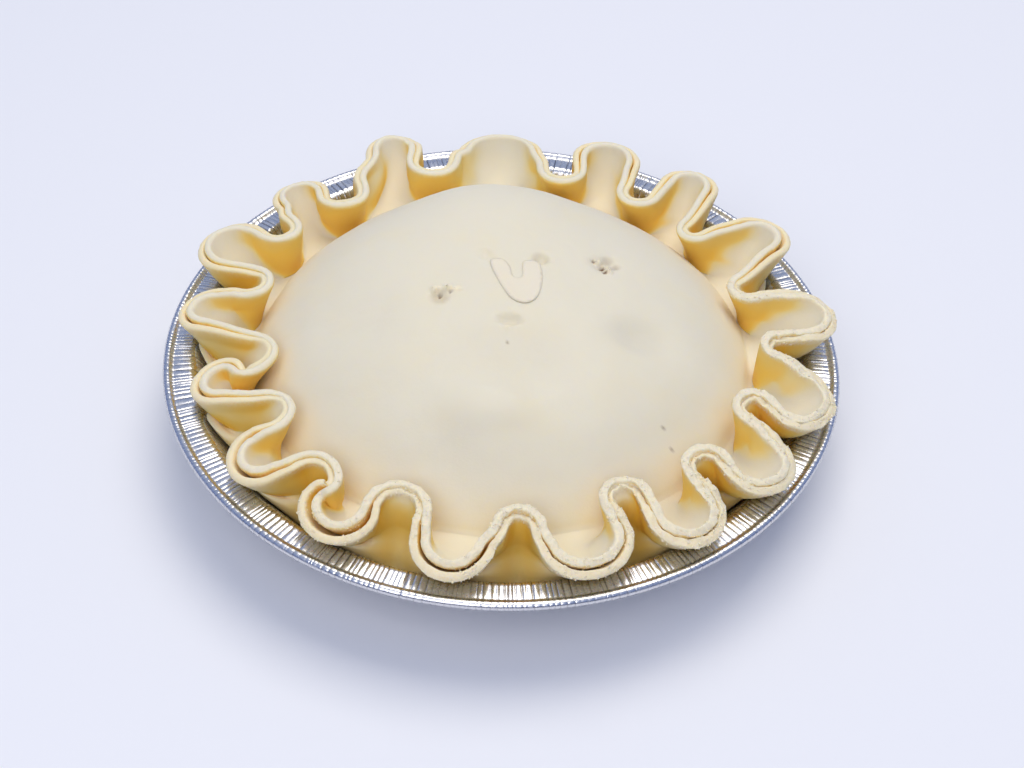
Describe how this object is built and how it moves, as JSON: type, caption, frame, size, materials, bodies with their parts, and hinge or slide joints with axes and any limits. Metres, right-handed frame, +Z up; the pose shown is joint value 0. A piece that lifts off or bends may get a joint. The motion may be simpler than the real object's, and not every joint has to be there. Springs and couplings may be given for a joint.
{
  "type": "unbaked savoury pie in foil tin",
  "caption": "Uncut double-crust pie of pale raw dough with a domed lid, a deep ruffled edge and a small dough heart, in a round aluminium foil tin with a pleated rim.",
  "frame": {"origin": "centre of the tin's underside, where it stands", "axes": "+Z up, +X to the right and +Y to the rear as the pie is seen from its front"},
  "size_m": [0.222, 0.222, 0.059],
  "materials": {
    "foil": "bright pleated foil",
    "base_dough": "raw shortcrust dough, floury and slightly translucent",
    "lid_dough": "raw shortcrust dough, smooth rolled top",
    "heart_dough": "raw shortcrust dough, cut thin"
  },
  "bodies": {
    "root": {"foil_tin": "foil", "base_crust": "base_dough", "lid_crust": "lid_dough", "dough_heart": "heart_dough"}
  },
  "joints": []
}
